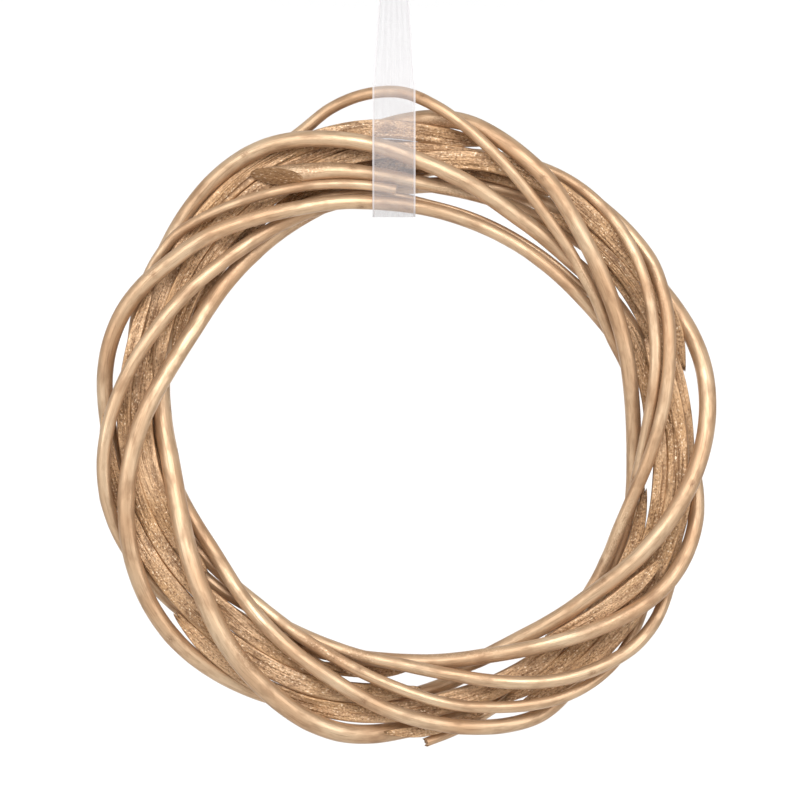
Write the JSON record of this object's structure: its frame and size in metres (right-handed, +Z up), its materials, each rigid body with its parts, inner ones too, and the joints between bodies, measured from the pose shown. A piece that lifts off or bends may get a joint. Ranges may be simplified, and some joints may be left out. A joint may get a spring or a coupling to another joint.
{
  "type": "wreath frame",
  "caption": "Ring of gold-sprayed willow rods wound round each other in a loose rope, hanging in a loop of sheer organza ribbon tied above it.",
  "frame": {"origin": "crotch of the ribbon loop, just under its knot, where a bar or hook carries the frame", "axes": "+Z up, out of the loop; +X to the right and +Y to the back, with the front of the ring towards -Y"},
  "size_m": [0.2173, 0.0278, 0.3279],
  "materials": {
    "gold_rod": "satin champagne-gold spray paint on smooth willow bark",
    "deep_gold_rod": "thin satin gold spray paint on willow bark, in shade",
    "pale_split_rod": "gold spray paint on rough split willow, sandy and matt",
    "organza": "sheer white woven organza with a close selvedge"
  },
  "bodies": {
    "hanger": {"ribbon_strip": "organza", "ribbon_knot": "organza"},
    "ring": {"arch_rod": "gold_rod", "thick_rod": "gold_rod", "west_rod": "gold_rod", "east_rod": "gold_rod", "inner_rod": "gold_rod", "shoulder_rod": "gold_rod", "south_east_rod": "gold_rod", "north_east_rod": "gold_rod", "cut_rod": "gold_rod", "thin_rod": "deep_gold_rod", "split_rod_1": "pale_split_rod", "split_rod_2": "pale_split_rod", "split_rod_3": "pale_split_rod", "split_rod_4": "pale_split_rod", "split_rod_5": "pale_split_rod", "split_rod_6": "pale_split_rod", "split_rod_7": "pale_split_rod", "split_rod_8": "pale_split_rod", "split_rod_9": "pale_split_rod", "split_rod_10": "pale_split_rod", "split_rod_11": "pale_split_rod", "split_rod_12": "pale_split_rod", "split_rod_13": "pale_split_rod", "split_rod_14": "pale_split_rod", "split_rod_15": "pale_split_rod", "split_rod_16": "pale_split_rod", "split_rod_17": "pale_split_rod", "split_rod_18": "pale_split_rod", "split_rod_19": "pale_split_rod", "split_rod_20": "pale_split_rod"}
  },
  "joints": [
    {"name": "ring_sway", "type": "hinge", "parent": "hanger", "child": "ring", "pos_m": [-0.0011, 0, -0.1087], "axis": [0, 1, 0], "range_deg": [-6, 6]}
  ]
}
